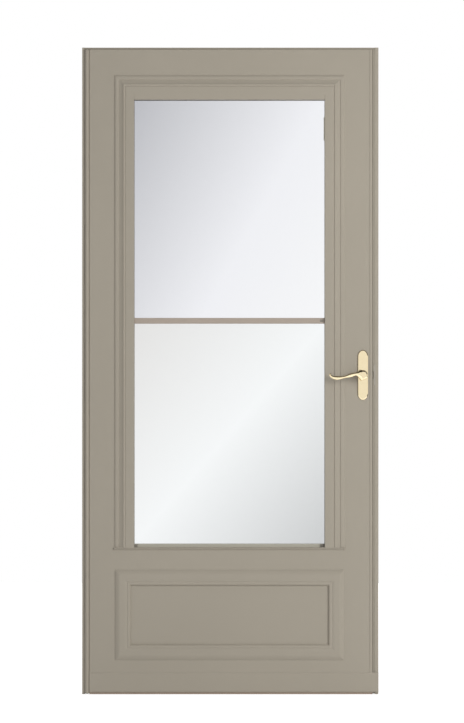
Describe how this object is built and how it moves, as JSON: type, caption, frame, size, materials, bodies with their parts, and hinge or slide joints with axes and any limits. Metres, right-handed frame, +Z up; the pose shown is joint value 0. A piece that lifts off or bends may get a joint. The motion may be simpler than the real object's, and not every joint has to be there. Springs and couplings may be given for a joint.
{
  "type": "storm door",
  "caption": "Outward-opening storm door with side rails, a tall window in two lights, a raised-moulding kick panel, a bottom expander and lever handles.",
  "frame": {"origin": "on the hinge rail's jamb face, at the sill, level with the middle of the leaf's thickness", "axes": "+X from the hinge jamb to the latch jamb, +Y from outside to inside, +Z up"},
  "size_m": [0.9324, 0.1162, 2.035],
  "materials": {
    "paint": "satin sandstone enamel on aluminium",
    "sash": "satin enamel, a little warmer",
    "vinyl": "matt vinyl",
    "dark_plastic": "matt",
    "sweep": "matt flexible vinyl",
    "seal": "matt",
    "steel": "zinc plated",
    "brass": "polished",
    "glass": "clear"
  },
  "bodies": {
    "frame": {"hinge_rail": "paint", "latch_rail": "paint", "head_rail": "paint", "frame_hinge_leaf": "paint", "hinge_pin": "steel", "strike_plate": "brass", "hinge_seal": "seal", "latch_seal": "seal", "head_seal": "seal"},
    "leaf": {"hinge_stile": "paint", "latch_stile": "paint", "top_rail": "paint", "kick_panel": "paint", "door_hinge_leaf": "paint", "bottom_expander": "paint", "door_sweep": "sweep", "window_head": "paint", "window_jamb_hinge_side": "paint", "window_jamb_latch_side": "paint", "window_sill": "paint", "inner_trim_head": "paint", "inner_trim_hinge_side": "paint", "inner_trim_latch_side": "paint", "inner_trim_sill": "paint", "upper_glass": "glass", "lower_glass": "glass", "glazing_beads": "vinyl", "upper_meeting_rail": "sash", "lower_meeting_rail": "sash", "sash_bottom_rail": "sash", "sash_stiles": "vinyl", "sash_glides": "dark_plastic", "sash_clip": "paint", "panel_moulding_top": "paint", "panel_moulding_bottom": "paint", "panel_moulding_hinge_side": "paint", "panel_moulding_latch_side": "paint", "outside_plate": "brass", "inside_plate": "brass", "latch_bolt": "steel", "latch_face_plate": "brass"},
    "lever": {"outside_lever": "brass", "spindle": "steel", "inside_lever": "brass"}
  },
  "joints": [
    {"name": "leaf_swing", "type": "hinge", "parent": "frame", "child": "leaf", "pos_m": [0.0096, -0.0097, 1], "axis": [0, 0, -1], "range_deg": [0, 100]},
    {"name": "lever_turn", "type": "hinge", "parent": "leaf", "child": "lever", "pos_m": [0.8775, 0, 1.0047], "axis": [0, -1, 0], "range_deg": [0, 35], "stiffness_Nm_per_rad": 1.5, "springref_deg": -20.05}
  ]
}
